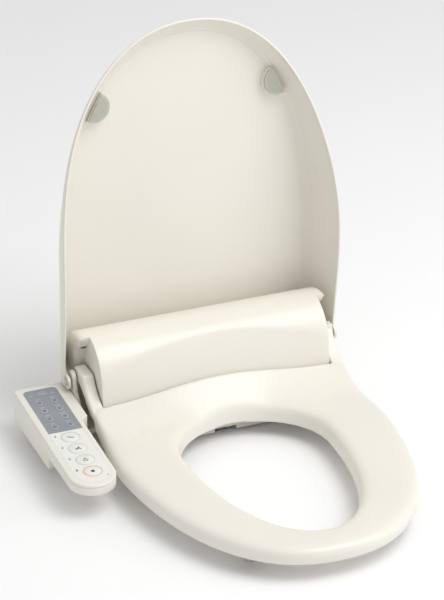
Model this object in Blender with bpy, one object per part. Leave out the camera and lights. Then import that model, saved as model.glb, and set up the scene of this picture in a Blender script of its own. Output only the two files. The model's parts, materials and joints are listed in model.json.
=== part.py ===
"""Electric bidet seat: base casing with control arm, heated seat ring, lid, nozzles and keys.

Axes: +X to the seated user's left, -Y to the front of the toilet, +Z up.
The origin lies on the bowl's deck, midway between the two fixing bolts.
Lengths below are in millimetres; mesh_object turns them into metres.
"""
import math

import bmesh
import bpy
from mathutils import Matrix, Vector

MM = 0.001
GAP = 0.3

# Seat ring
SEAT_AXIS = (-17.0, 72.0)
SEAT_HALF = 188.5
SEAT_CENTRE_Y = -145.0
SEAT_FRONT = 335.0
SEAT_REAR = 68.5
SEAT_POWER = 2.29
SEAT_REAR_POWER = 14.0
SEAT_WAIST = 9.0
SEAT_RISE = 17.0
MIDDLE_RISE = 16.0
SEAT_TOP = 34.5
HOLE_HALF = 99.5
HOLE_CENTRE_Y = -209.5
HOLE_FRONT = 218.5
HOLE_REAR = 90.0
HOLE_POWER = 2.05
SEAT_WALL = 3.0
RING_STEPS = 56
ARM_INNER = 162.5
ARM_OUTER = 179.5
PIN_RADIUS = 4.0
PIN_BORE = 4.3
BUSH_RADIUS = 6.2
BUMPER_HEIGHT = 7.8

# Lid
LID_AXIS = (-20.0, 63.0)
LID_OPEN = 100.6
LID_HALF = 194.5
LID_CENTRE = 140.0
LID_FRONT = 324.0
LID_POWER = 2.2
LID_WALL = 2.6
LID_PANEL = 66.0
LID_PANEL_FALL = 0.208
LID_LEAN = 19.0
LID_LUG = 9.6

# Rear casing
CASING_HALF = 161.0
SHOULDER_HALF = 175.0
SHOULDER_Y = 11.0
SHOULDER_ENDS = ((-175.0, 6.0), (-173.4, 3.4), (-170.4, 1.2), (-166.5, 0.0))
SHOULDER_FRONT = ((-26.0, 121.5), (-20.7, 113.8), (-14.3, 107.2), (-8.2, 102.2), (-4.6, 96.0))
FOOT_HEIGHT = 52.6
SEAM = 0.03
BUTTON_Y = 18.0
PORT_HEIGHT = 24.0
INLET_X = 120.0
CORD_X = -120.0
CASING_RADIUS = 55.4
CASING_WALL = 2.8
CASING_REAR = 37.4
PARTING = 8.0
BAY_FRONT = -101.0
BAY_BOTTOM = -8.5
BAY_HALF = 92.0
DECK_CLEAR = 0.6
POST_INNER = 181.3
POST_OUTER = 186.4

# Control arm
PANEL_OUTER = -258.0
PANEL_INNER = -197.0
PANEL_REAR = 5.0
PANEL_FRONT = -246.0
PANEL_HEIGHT = 51.0
PANEL_SLOPE = math.atan(0.0488)
PANEL_STEP = -133.0
PANEL_DEEP = 7.0
PANEL_SHALLOW = 24.5
SHELF_INNER = 187.0
SHELF_FRONT = -85.0
COVER_THICK = 3.0
LABEL_LEFT = -249.0
LABEL_RIGHT = -203.0
LENS_X = -225.0
LENS_Y = -17.0
LENS_HALF = 7.0
LENS_DEEP = 2.0
LABEL_SPLIT = -112.6
LABEL_THICK = 0.5
SMALL_KEY_RADIUS = 5.6
LARGE_KEY_RADIUS = 12.8
KEY_PROUD = 0.5
SMALL_KEY_ROWS = (-37.0, -57.7, -78.4, -99.1)
SMALL_KEY_COLUMNS = (-236.0, -215.0)
LARGE_KEY_ROWS = (("dryer_key", -129.0), ("bidet_key", -157.0), ("wash_key", -185.0), ("stop_key", -213.0))
LARGE_KEY_X = -225.0

# Nozzles
NOZZLE_TILT = math.radians(24.0)
NOZZLE_TIP = (-95.0, -7.5)
NOZZLE_RADIUS = 4.0
NOZZLE_LENGTH = 102.0
NOZZLE_OFFSET = 7.0
PINION_RADIUS = 6.0
PINION_PLACE = 84.0

IVORY = (0.87, 0.84, 0.76)
CREAM = (0.80, 0.77, 0.69)


def clear_scene():
    for obj in list(bpy.data.objects):
        bpy.data.objects.remove(obj, do_unlink=True)


def material(name, colour, roughness, metallic=0.0):
    mat = bpy.data.materials.new(name)
    mat.use_nodes = True
    shader = mat.node_tree.nodes["Principled BSDF"]
    shader.inputs["Base Color"].default_value = (*colour, 1.0)
    shader.inputs["Roughness"].default_value = roughness
    shader.inputs["Metallic"].default_value = metallic
    mat.diffuse_color = (*colour, 1.0)
    return mat


def mesh_object(name, bm, mat=None, smooth=40.0):
    """Closes a millimetre mesh, scales it to metres and links it as one object."""
    bmesh.ops.recalc_face_normals(bm, faces=bm.faces)
    bmesh.ops.scale(bm, vec=(MM, MM, MM), verts=bm.verts)
    mesh = bpy.data.meshes.new(name)
    bm.to_mesh(mesh)
    bm.free()
    obj = bpy.data.objects.new(name, mesh)
    bpy.context.scene.collection.objects.link(obj)
    if mat is not None:
        mesh.materials.append(mat)
    if smooth:
        mesh.shade_smooth()
        mesh.set_sharp_from_angle(angle=math.radians(smooth))
    return obj


def loft(rings, closed=False):
    """Skins equal rings of points; the ends are capped unless the rings form a closed loop."""
    bm = bmesh.new()
    rows = [[bm.verts.new(p) for p in ring] for ring in rings]
    count = len(rows[0])
    pairs = list(zip(rows, rows[1:]))
    if closed:
        pairs.append((rows[-1], rows[0]))
    for low, high in pairs:
        for i in range(count):
            j = (i + 1) % count
            bm.faces.new((low[i], low[j], high[j], high[i]))
    if not closed:
        bm.faces.new(rows[0])
        bm.faces.new(list(reversed(rows[-1])))
    return bm


def prism(points, start, end, axis="Z"):
    """Extrudes a closed outline along one axis. For X the points are (y, z), for Z (x, y)."""
    place = {
        "X": lambda p, t: (t, p[0], p[1]),
        "Y": lambda p, t: (p[0], t, p[1]),
        "Z": lambda p, t: (p[0], p[1], t),
    }[axis]
    return loft([[place(p, t) for p in points] for t in (start, end)])


def box(low, high):
    corners = [(low[0], low[1]), (high[0], low[1]), (high[0], high[1]), (low[0], high[1])]
    return prism(corners, low[2], high[2])


def arc(centre, radius, start, end, steps):
    """Points on an arc; the angles are in degrees."""
    angles = [math.radians(start + (end - start) * i / steps) for i in range(steps + 1)]
    return [(centre[0] + radius * math.cos(a), centre[1] + radius * math.sin(a)) for a in angles]


def rounded_box(low, high, radius, steps=4):
    """Plan outline of a rectangle with round corners."""
    points = []
    for x, y, start in ((high[0] - radius, high[1] - radius, 0), (low[0] + radius, high[1] - radius, 90),
                        (low[0] + radius, low[1] + radius, 180), (high[0] - radius, low[1] + radius, 270)):
        points += arc((x, y), radius, start, start + 90, steps)
    return points


def turned(profile, steps=24):
    """Turns (radius, height) points about Z.

    The profile starts and ends on the axis, or closes on itself."""
    solid = profile[0][0] == 0.0
    bm = bmesh.new()
    rows = []
    for radius, height in profile:
        if radius == 0.0:
            rows.append([bm.verts.new((0.0, 0.0, height))])
            continue
        turn = [2.0 * math.pi * i / steps for i in range(steps)]
        rows.append([bm.verts.new((radius * math.cos(a), radius * math.sin(a), height)) for a in turn])
    pairs = list(zip(rows, rows[1:]))
    if not solid:
        pairs.append((rows[-1], rows[0]))
    for low, high in pairs:
        for i in range(steps):
            j = (i + 1) % steps
            if len(low) == 1:
                bm.faces.new((low[0], high[j], high[i]))
            elif len(high) == 1:
                bm.faces.new((low[i], low[j], high[0]))
            else:
                bm.faces.new((low[i], low[j], high[j], high[i]))
    return bm


def rod(start, end, radius, steps=20, bore=0.0):
    """Cylinder or tube between two points."""
    span = Vector(end) - Vector(start)
    length = span.length
    if bore:
        profile = [(bore, 0.0), (radius, 0.0), (radius, length), (bore, length)]
    else:
        profile = [(0.0, 0.0), (radius, 0.0), (radius, length), (0.0, length)]
    bm = turned(profile, steps)
    turn = span.to_track_quat("Z", "Y").to_matrix().to_4x4()
    bmesh.ops.transform(bm, matrix=Matrix.Translation(start) @ turn, verts=bm.verts)
    return bm


def combine(target, tool, operation="DIFFERENCE"):
    """Applies one exact Boolean to the target and removes the tool, which is a mesh or an object."""
    if isinstance(tool, bmesh.types.BMesh):
        tool = mesh_object("tool", tool, None, 0)
    modifier = target.modifiers.new("combine", "BOOLEAN")
    modifier.operation = operation
    modifier.solver = "EXACT"
    modifier.object = tool
    graph = bpy.context.evaluated_depsgraph_get()
    mesh = bpy.data.meshes.new_from_object(target.evaluated_get(graph))
    target.modifiers.clear()
    old = target.data
    target.data = mesh
    bpy.data.meshes.remove(old)
    bpy.data.objects.remove(tool, do_unlink=True)


def pivot(name, location, rotation=(0.0, 0.0, 0.0)):
    empty = bpy.data.objects.new(name, None)
    empty.location = Vector(location) * MM
    empty.rotation_euler = rotation
    bpy.context.scene.collection.objects.link(empty)
    bpy.context.view_layer.update()
    return empty


def attach(obj, parent):
    """Parents an object that is already in its world place."""
    obj.parent = parent
    obj.matrix_parent_inverse = parent.matrix_world.inverted()


def polar(angle, half, front, rear, power, rear_power):
    """Radius of an egg-shaped outline, seen from its own centre."""
    reach = rear if math.sin(angle) > 0.0 else front
    n = rear_power if math.sin(angle) > 0.0 else power
    return (abs(math.cos(angle) / half) ** n + abs(math.sin(angle) / reach) ** n) ** (-1.0 / n)


def ease(share):
    """Smooth step from 0 to 1."""
    share = min(max(share, 0.0), 1.0)
    return share * share * (3.0 - 2.0 * share)


def seat_outer(angle):
    r = polar(angle, SEAT_HALF, SEAT_FRONT, SEAT_REAR, SEAT_POWER, SEAT_REAR_POWER)
    y = SEAT_CENTRE_Y + r * math.sin(angle)
    waist = SEAT_WAIST * ease((y + 215.0) / 115.0)
    return Vector((r * math.cos(angle) * (1.0 - waist / SEAT_HALF), y))


def seat_hole(angle):
    r = polar(angle, HOLE_HALF, HOLE_FRONT, HOLE_REAR, HOLE_POWER, 2.0)
    return Vector((r * math.cos(angle), HOLE_CENTRE_Y + r * math.sin(angle)))


def seat_bell(x):
    """Rise of the seat's and the casing's meeting line towards the middle."""
    return 0.5 + 0.5 * math.cos(math.pi * min(abs(x) / CASING_HALF, 1.0))


def seat_lift(x, y):
    """Rise of the ring's rear as it climbs to meet the casing."""
    side = min(abs(x) / CASING_HALF, 1.0) ** 2
    start = -122.0 - 28.0 * side
    climb = min(max((y - start) / (-76.0 - start), 0.0), 1.0)
    return (SEAT_RISE + MIDDLE_RISE * seat_bell(x)) * climb ** (1.25 + 0.35 * side)


def ring_angles(corners):
    """Even steps round the ring, with more of them at its two rear corners."""
    extra = [math.radians(a) for a in list(corners) + [180.0 - a for a in corners]]
    return sorted([2.0 * math.pi * i / RING_STEPS for i in range(RING_STEPS)] + extra)


def seat_ring(profile, inner_from, corners=(16.0, 17.7, 21.0, 22.8, 24.3)):
    """Sweeps a cross-section round the ring. Each profile point is (from hole, from rim, height): the
    first two are distances along the section, of which one is None. Points from inner_from on are on
    the inside of the wall. The rim's rounding tightens along the rear edge and the arms."""
    rings = []
    for angle in ring_angles(corners):
        inner = seat_hole(angle)
        outer = seat_outer(angle)
        across = outer - inner
        length = across.length
        tight = 1.0 - 0.72 * ease((outer.y + 150.0) / 60.0)
        ring = []
        for i, (from_hole, from_rim, height) in enumerate(profile):
            wall = SEAT_WALL if i >= inner_from else 0.0
            if from_rim is None:
                share = from_hole / length
            else:
                share = 1.0 - (wall + (from_rim - wall) * tight) / length
            spot = inner + across * share
            ring.append((spot.x, spot.y, height + seat_lift(spot.x, spot.y)))
        rings.append(ring)
    return rings


def seat_arm_profile():
    """Side view of one seat arm, from the ring up to its hinge lug."""
    lug = arc(SEAT_AXIS, 9.2, -90, 90, 10)
    nose = arc((-41.0, 75.2), 6.0, 90, 165, 4)
    return lug + nose + [(-51.0, 70.5), (-57.0, 63.5), (-65.0, 57.0), (-76.0, 51.0), (-83.5, 47.4),
                         (-83.5, 36.0), (-74.0, 36.0), (-60.0, 44.0), (-48.0, 54.0), (-36.0, 61.0)]


def build_seat(ivory, grey, dark, brass):
    axis = pivot("seat_axis", (0.0, *SEAT_AXIS))
    t = SEAT_WALL
    shell = [(None, 2.0, 14.0), (None, 0.5, 18.0), (None, 0.0, 24.0), (None, 1.6, 28.6), (None, 5.0, 31.8),
             (None, 11.0, 33.8), (None, 20.0, SEAT_TOP), (20.0, None, SEAT_TOP - 0.3), (11.0, None, 33.2),
             (5.5, None, 30.6), (2.2, None, 26.0), (0.7, None, 19.0), (0.0, None, 9.0),
             (t, None, 9.0), (t + 0.8, None, 19.0), (t + 3.0, None, 25.6), (12.5, None, 30.2),
             (20.0, None, SEAT_TOP - t), (None, 20.0, SEAT_TOP - t), (None, 11.5, 30.8), (None, 6.4, 28.6),
             (None, t + 1.0, 25.0), (None, t + 0.6, 18.0), (None, t + 2.0, 14.0)]
    top = mesh_object("seat_top_shell", loft(seat_ring(shell, 12), closed=True), ivory)
    for side in (-1, 1):
        low, high = sorted((side * ARM_INNER, side * ARM_OUTER))
        combine(top, prism(seat_arm_profile(), low, high, "X"), "UNION")
        combine(top, rod((side * 150.0, *SEAT_AXIS), (side * 190.0, *SEAT_AXIS), BUSH_RADIUS + GAP))
    plate = [(t + GAP, None, 9.0), (t + 1.0 + GAP, None, 14.0), (None, t + 2.4 + GAP, 17.0),
             (None, t + 2.4 + GAP, 14.5), (None, t + 3.0, 12.0), (t + 1.2, None, 8.2)]
    plate_obj = mesh_object("seat_bottom_shell", loft(seat_ring(plate, 0), closed=True), ivory)
    heater = [(18.0, None, 29.6), (None, 24.0, 29.6), (None, 24.0, 28.0), (18.0, None, 28.0)]
    heater_obj = mesh_object("seat_heater", loft(seat_ring(heater, 0, ()), closed=True), dark)
    for obj in (top, plate_obj, heater_obj):
        attach(obj, axis)
    spots = {"seat_bumper_front_left": (-96.0, -408.0), "seat_bumper_front_right": (96.0, -408.0),
             "seat_bumper_rear_left": (-146.0, -190.0), "seat_bumper_rear_right": (146.0, -190.0)}
    for name, (x, y) in spots.items():
        pad = prism(rounded_box((x - 8.0, y - 16.0), (x + 8.0, y + 16.0), 6.0), 0.0, BUMPER_HEIGHT)
        attach(mesh_object(name, pad, grey), axis)
    for side, word in ((-1, "left"), (1, "right")):
        start, end = side * (ARM_INNER + 0.2), side * (ARM_OUTER - 0.2)
        bush = rod((start, *SEAT_AXIS), (end, *SEAT_AXIS), BUSH_RADIUS, 24, PIN_BORE)
        attach(mesh_object("seat_bush_" + word, bush, brass), axis)


def lid_outline(angle, inset):
    """Plan point of the closed lid, measured from the lid's axis: x, and distance to the front."""
    half = LID_HALF - inset
    front = LID_FRONT - inset * 1.15
    n = LID_POWER
    r = (abs(math.cos(angle) / half) ** n + abs(math.sin(angle) / front) ** n) ** (-1.0 / n)
    return r * math.cos(angle), LID_CENTRE + r * math.sin(angle)


def lid_rim(v):
    """Height of the closed lid's rim over the lid's axis, as a function of the distance to the front."""
    fall = math.sin(0.5 * math.pi * min(max((v - 5.0) / 205.0, 0.0), 1.0)) ** 1.15
    front = min(max((v - 250.0) / 210.0, 0.0), 1.0)
    return 4.0 - 47.6 * fall + 4.0 * math.sin(math.pi * front) - 3.0 * front


def lid_top(v, distance):
    """Height of the lid's panel, at a distance square to it from the lid's axis."""
    return distance * math.hypot(1.0, LID_PANEL_FALL) - LID_PANEL_FALL * v


def lid_stations():
    """(side or angle, v) stations round the lid from its left rear corner to its right one."""
    sides = [-6.0, 12.0, 36.0, 62.0, 88.0, 114.0]
    turn = [180.0 - 180.0 * i / 28 for i in range(29)]
    left = [(None, v, -1) for v in sides]
    front = [(math.radians(a), None, 0) for a in turn]
    right = [(None, v, 1) for v in reversed(sides)]
    return left + front + right


def lid_section(station, wall):
    """Points from the rim up the wall and onto the panel, for the outer or the inner face."""
    angle, v_side, side = station
    thickness = LID_WALL if wall == "inner" else 0.0
    levels = (0.0, 0.12, 0.3, 0.55, 0.8, 0.93, 1.0)
    leans = (0.0, 0.04, 0.16, 0.42, 0.72, 0.9, 1.12)
    section = []
    distance = LID_PANEL if wall == "inner" else LID_PANEL + LID_WALL
    reach = v_side if angle is None else lid_outline(angle, 0.0)[1]
    steep = LID_LEAN * (1.0 - 0.3 * min(max((reach - 250.0) / 210.0, 0.0), 1.0))
    for level, lean in zip(levels, leans):
        inset = thickness + steep * lean
        if angle is None:
            x = side * (LID_HALF - inset - 0.00001 * (LID_CENTRE - v_side) ** 2)
            v = v_side
        else:
            x, v = lid_outline(angle, inset)
        rim = lid_rim(reach)
        top = lid_top(v, distance)
        section.append((x, v, rim + (top - rim) * level - (1.6 if level == 0.93 else 0.0)))
    return section


def lid_shell_mesh():
    """One closed skin: outer wall, crown panel, inner wall and rim."""
    bm = bmesh.new()
    faces = {}
    for wall in ("outer", "inner"):
        rows = [[bm.verts.new((x, -v, w)) for x, v, w in lid_section(s, wall)] for s in lid_stations()]
        faces[wall] = rows
        for a, b in zip(rows, rows[1:]):
            for i in range(len(a) - 1):
                quad = (a[i], b[i], b[i + 1], a[i + 1])
                bm.faces.new(quad if wall == "outer" else tuple(reversed(quad)))
        crown(bm, rows)
    outer, inner = faces["outer"], faces["inner"]
    for a, b, c, d in zip(outer, outer[1:], inner, inner[1:]):
        bm.faces.new((a[0], c[0], d[0], b[0]))
    for row_out, row_in in ((outer[0], inner[0]), (outer[-1], inner[-1])):
        for i in range(len(row_out) - 1):
            bm.faces.new((row_out[i], row_out[i + 1], row_in[i + 1], row_in[i]))
    bm.faces.new((outer[0][-1], outer[-1][-1], inner[-1][-1], inner[0][-1]))
    return bm


def crown(bm, rows):
    """Fills the panel between the two sides with cross strips."""
    last = [row[-1] for row in rows]
    count = len(last)
    for i in range(count // 2):
        a, b, c, d = last[i], last[i + 1], last[count - 2 - i], last[count - 1 - i]
        if b is c:
            bm.faces.new((a, b, d))
        else:
            bm.faces.new((a, b, c, d))


def build_lid(ivory, pad_mat):
    turn = math.radians(-LID_OPEN)
    bm = lid_shell_mesh()
    lid = mesh_object("lid_shell", bm, ivory)
    for side in (-1, 1):
        inner = LID_HALF - LID_WALL - 1.8
        outline = arc((0.0, 0.0), LID_LUG, 180, 360, 10) + [(6.0, 22.0), (-LID_LUG, 22.0)]
        low, high = sorted((side * (inner - 1.0), side * (inner + 2.2)))
        combine(lid, prism(outline, low, high, "X"), "UNION")
        combine(lid, rod((side * 180.0, 0.0, 0.0), (side * 200.0, 0.0, 0.0), PIN_BORE))
        boss, pad = lid_bumper(side)
        combine(lid, boss, "UNION")
        pad_obj = mesh_object("lid_bumper_" + ("left" if side < 0 else "right"), pad, pad_mat)
        pad_obj.location = Vector((0.0, *LID_AXIS)) * MM
        pad_obj.rotation_euler = (turn, 0.0, 0.0)
    lid.location = Vector((0.0, *LID_AXIS)) * MM
    lid.rotation_euler = (turn, 0.0, 0.0)


def lid_bumper(side):
    """Half-moon boss on the panel's inside and the rubber pad on it, both parallel to the panel."""
    reach = 362.0
    centre = (side * 127.0, -reach)
    facing = 153.0 if side > 0 else 27.0
    face = lid_top(reach, LID_PANEL)
    shapes = []
    for radius, low, high in ((21.0, face - 9.0, face + 1.2), (20.0, face - 12.5, face - 9.0 - GAP)):
        bm = prism(arc(centre, radius, facing - 90.0, facing + 90.0, 14), low, high)
        for vert in bm.verts:
            vert.co.z += LID_PANEL_FALL * (vert.co.y + reach)
        shapes.append(bm)
    return shapes


def crease_height(x):
    """Height of the arched fold across the casing's front."""
    return 116.0 - 27.7 * (x / CASING_HALF) ** 2


def casing_profile(x, wall, bottom):
    """Side view of the rear casing at one x: round back and top, flat facet, foot under the seat."""
    radius = CASING_RADIUS - wall
    rear = CASING_REAR - wall
    start = math.degrees(math.acos((rear - SEAT_AXIS[0]) / radius))
    crease = 180.0 - math.degrees(math.asin((crease_height(x) - SEAT_AXIS[1]) / radius))
    share = (x / CASING_HALF) ** 2
    top = arc(SEAT_AXIS, radius, -start, crease, 16)
    foot = (-73.0 - 2.0 * share + wall, FOOT_HEIGHT + MIDDLE_RISE * seat_bell(x))
    return [(rear, bottom)] + top + [foot, (-75.5 + wall, 24.0 - wall), (-97.0 + wall, 15.0 - wall),
                                     (BAY_FRONT + wall, 11.0 - wall), (BAY_FRONT + wall, bottom)]


def casing_core(wall, bottom):
    half = CASING_HALF - wall
    stations = [-half + 2.0 * half * i / 10 for i in range(11)]
    return loft([[(x, y, z) for y, z in casing_profile(x, wall, bottom)] for x in stations])


def shoulder(wall, bottom):
    """The casing's wider rear part: rounded ends, and a front that clears the raised seat's arms."""
    rings = []
    for out, shrink in SHOULDER_ENDS + tuple((-out, shrink) for out, shrink in reversed(SHOULDER_ENDS)):
        radius = CASING_RADIUS + SEAM - wall - shrink
        rear = CASING_REAR + SEAM - wall - shrink
        foot = bottom + SEAM
        start = math.degrees(math.acos((rear - SEAT_AXIS[0]) / radius))
        back, down = 0.75 * wall + 0.8 * shrink, 0.75 * wall + 0.2 * shrink
        front = [(y + back, z - down) for y, z in SHOULDER_FRONT]
        low = front[-1][0]
        outline = [(rear, foot)] + arc(SEAT_AXIS, radius, -start, 100.0, 10) + front + [(low, foot)]
        x = math.copysign(abs(out) - wall, out)
        rings.append([(x, y, z) for y, z in outline])
    return loft(rings)


def build_casing(ivory, cream):
    cover = mesh_object("rear_cover", casing_core(0.0, PARTING + GAP), ivory)
    combine(cover, shoulder(0.0, PARTING + GAP), "UNION")
    inside = mesh_object("inside", casing_core(CASING_WALL, PARTING - 4.0))
    combine(inside, shoulder(CASING_WALL, PARTING - 4.0), "UNION")
    combine(cover, inside)
    for side in (-1, 1):
        combine(cover, rod((side * 155.0, *SEAT_AXIS), (side * 164.0, *SEAT_AXIS), PIN_BORE, 24))
    combine(cover, rod((170.0, BUTTON_Y, PORT_HEIGHT), (180.0, BUTTON_Y, PORT_HEIGHT), 7.3, 24))
    combine(cover, rod((INLET_X, 30.0, PORT_HEIGHT), (INLET_X, 42.0, PORT_HEIGHT), 8.3, 24))
    combine(cover, rod((CORD_X, 30.0, PORT_HEIGHT), (CORD_X, 42.0, PORT_HEIGHT), 6.3, 24))
    build_tray(cream)


def build_tray(cream):
    """Floor of the casing: a plate with a skirt, a bay that dips into the bowl, and two hinge posts."""
    edge = POST_OUTER
    outline = [(SHOULDER_HALF, SHOULDER_Y), (SHOULDER_HALF, CASING_REAR), (-SHOULDER_HALF, CASING_REAR),
               (-SHOULDER_HALF, SHOULDER_Y), (-edge, SHOULDER_Y), (-edge, -56.0), (-CASING_HALF, -56.0),
               (-CASING_HALF, BAY_FRONT), (CASING_HALF, BAY_FRONT), (CASING_HALF, -56.0), (edge, -56.0),
               (edge, SHOULDER_Y)]
    tray = mesh_object("base_tray", prism(outline, DECK_CLEAR, PARTING), cream, 0)
    combine(tray, box((-158.0, -53.0, -1.0), (158.0, 34.0, 4.8)))
    combine(tray, box((-BAY_HALF, BAY_FRONT, BAY_BOTTOM), (BAY_HALF, -70.0, 2.0)), "UNION")
    combine(tray, box((-BAY_HALF + 3.0, BAY_FRONT + 3.0, BAY_BOTTOM + 3.0), (BAY_HALF - 3.0, -73.0, 12.0)))
    combine(tray, box((-18.0, -80.0, -3.0), (18.0, -34.0, 12.0)))
    combine(tray, box((-15.5, -103.0, -12.0), (15.5, -76.0, -3.0)))
    for side in (-1, 1):
        low, high = sorted((side * POST_INNER, side * POST_OUTER))
        post = [(-60.0, 3.0), (10.0, 3.0), (2.0, 45.0)] + arc((-19.0, 68.0), 10.0, -10, 190, 12)
        post += [(-33.0, 52.0), (-50.0, 34.0)]
        combine(tray, prism(post, low, high, "X"), "UNION")
        combine(tray, rod((side * 178.0, *LID_AXIS), (side * 192.0, *LID_AXIS), PIN_BORE, 24))


def build_pins(steel, dark):
    for side, word in ((-1, "left"), (1, "right")):
        start, end = side * 151.0, side * (ARM_OUTER + 0.4)
        pin = rod((start, *SEAT_AXIS), (end, *SEAT_AXIS), PIN_RADIUS, 24)
        mesh_object("seat_pin_" + word, pin, steel)
        start, end = side * (POST_INNER + 0.1), side * (LID_HALF - 0.4)
        pin = rod((start, *LID_AXIS), (end, *LID_AXIS), PIN_RADIUS, 24)
        mesh_object("lid_pin_" + word, pin, steel)
    mesh_object("seat_damper", rod((100.0, *SEAT_AXIS), (150.5, *SEAT_AXIS), 9.0, 24), dark)
    mesh_object("lid_damper", rod((-100.0, *SEAT_AXIS), (-150.5, *SEAT_AXIS), 9.0, 24), dark)


def build_mounting_plate(grey):
    outline = rounded_box((-95.0, -28.0), (95.0, 28.0), 8.0)
    plate = mesh_object("mounting_plate", prism(outline, 0.0, 4.4), grey, 0)
    for side in (-1, 1):
        slot = rounded_box((side * 70.0 - 6.0, -17.0), (side * 70.0 + 6.0, 17.0), 5.9)
        combine(plate, prism(slot, -1.0, 6.0))


def panel_height(y):
    return PANEL_HEIGHT + math.tan(PANEL_SLOPE) * y


def panel_plan(inset):
    """Plan of the control arm: round front, side shelf towards the casing."""
    radius = 0.5 * (PANEL_INNER - PANEL_OUTER)
    middle = 0.5 * (PANEL_INNER + PANEL_OUTER)
    left, right, rear = PANEL_OUTER + inset, PANEL_INNER - inset, PANEL_REAR - inset
    front = arc((middle, PANEL_FRONT + radius), radius - inset, 180, 360, 16)
    shelf = -SHELF_INNER - inset
    corner = arc((left + 5.0, rear - 5.0), 5.0, 90, 180, 4)
    return front + [(right, SHELF_FRONT - 9.0), (shelf, SHELF_FRONT), (shelf, rear)] + corner


def panel_band(name, inset, top_drop, low_points):
    """Plan of the arm cut by a side view whose top follows the sloping panel."""
    bm = prism(panel_plan(inset), -5.0, 70.0)
    solid = mesh_object(name, bm)
    side = [(20.0, panel_height(20.0) - top_drop), (-260.0, panel_height(-260.0) - top_drop)]
    combine(solid, prism(side + low_points, -270.0, -170.0, "X"), "INTERSECT")
    return solid


def panel_frame():
    """The panel's own frame, in which the cover's top is zero."""
    return Matrix.Translation((0.0, 0.0, PANEL_HEIGHT)) @ Matrix.Rotation(PANEL_SLOPE, 4, "X")


def on_panel(bm):
    """Moves a shape from the panel's own frame to its place."""
    bmesh.ops.transform(bm, matrix=panel_frame(), verts=bm.verts)
    return bm


def key_places():
    places = []
    for row, y in enumerate(SMALL_KEY_ROWS):
        for column, x in enumerate(SMALL_KEY_COLUMNS):
            places.append(("function_key_%d" % (2 * row + column + 1), x, y, SMALL_KEY_RADIUS))
    for name, y in LARGE_KEY_ROWS:
        places.append((name, LARGE_KEY_X, y, LARGE_KEY_RADIUS))
    return places


def key_steps(radius):
    return 24 if radius > 10.0 else 14


def disc_set(places, extra, low, high):
    """One mesh of upright discs, each a little wider than the key it clears."""
    bm = bmesh.new()
    for _, x, y, radius in places:
        profile = [(0.0, low), (radius + extra, low), (radius + extra, high), (0.0, high)]
        part = turned(profile, key_steps(radius))
        bmesh.ops.translate(part, vec=(x, y, 0.0), verts=part.verts)
        mesh = bpy.data.meshes.new("disc")
        bmesh.ops.recalc_face_normals(part, faces=part.faces)
        part.to_mesh(mesh)
        part.free()
        bm.from_mesh(mesh)
        bpy.data.meshes.remove(mesh)
    return bm


def lens_window():
    """Opening for the status lens, through the cover and its label."""
    low = (LENS_X - LENS_HALF - 0.4, LENS_Y - LENS_DEEP - 0.4, -6.0)
    return on_panel(box(low, (LENS_X + LENS_HALF + 0.4, LENS_Y + LENS_DEEP + 0.4, 3.0)))


def build_control_arm(ivory, grey, white, green, clear):
    wall = 2.6
    low = [(-260.0, PANEL_SHALLOW), (PANEL_STEP - 4.0, PANEL_SHALLOW),
           (PANEL_STEP, PANEL_DEEP), (20.0, PANEL_DEEP)]
    inner_low = [(-260.0, PANEL_SHALLOW + wall), (PANEL_STEP, PANEL_SHALLOW + wall),
                 (PANEL_STEP + 4.0, PANEL_DEEP + wall), (20.0, PANEL_DEEP + wall)]
    base = panel_band("control_arm_base", 0.0, COVER_THICK + GAP, low)
    base.data.materials.append(ivory)
    combine(base, panel_band("inside", wall, -10.0, inner_low))
    strip = [(-260.0, panel_height(-260.0) - COVER_THICK), (20.0, panel_height(20.0) - COVER_THICK)]
    cover = panel_band("control_arm_cover", 0.0, 0.0, strip)
    cover.data.materials.append(ivory)
    centre = 0.5 * (LABEL_LEFT + LABEL_RIGHT)
    radius = 0.5 * (LABEL_RIGHT - LABEL_LEFT)
    front = PANEL_FRONT + 7.5 + radius
    rear = rounded_rear(LABEL_LEFT, LABEL_RIGHT, LABEL_SPLIT + 0.15, -4.0, 7.0)
    nose = arc((centre, front), radius, 180, 360, 18)
    nose += [(LABEL_RIGHT, LABEL_SPLIT - 0.15), (LABEL_LEFT, LABEL_SPLIT - 0.15)]
    recess = arc((centre, front), radius + GAP, 180, 360, 18)
    recess += rounded_rear(LABEL_LEFT - GAP, LABEL_RIGHT + GAP, LABEL_SPLIT, -3.7, 7.3)[2:]
    combine(cover, on_panel(prism(recess, -LABEL_THICK - GAP, 3.0)))
    combine(cover, on_panel(disc_set(key_places(), 0.4, -6.0, 3.0)))
    combine(cover, lens_window())
    labels = (("function_label", rear, grey, [k for k in key_places() if k[0].startswith("function")]),
              ("key_label", nose, white, [k for k in key_places() if not k[0].startswith("function")]))
    for name, outline, mat, keys in labels:
        label = mesh_object(name, on_panel(prism(outline, -LABEL_THICK, 0.0)), mat, 0)
        combine(label, on_panel(disc_set(keys, 0.4, -3.0, 3.0)))
        if name == "function_label":
            combine(label, lens_window())
    low = (LENS_X - LENS_HALF, LENS_Y - LENS_DEEP, -5.0)
    lens = box(low, (LENS_X + LENS_HALF, LENS_Y + LENS_DEEP, 0.2))
    mesh_object("status_lens", on_panel(lens), clear, 0)
    board = rounded_box((-253.0, -226.0), (-202.0, -8.0), 3.0)
    mesh_object("control_board", on_panel(prism(board, -8.8, -7.2)), green, 0)


def rounded_rear(left, right, front, rear, radius):
    """Plan outline with two round rear corners, starting at the front left."""
    return ([(left, front), (right, front)] + arc((right - radius, rear - radius), radius, 0, 90, 5)
            + arc((left + radius, rear - radius), radius, 90, 180, 5))


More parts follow.
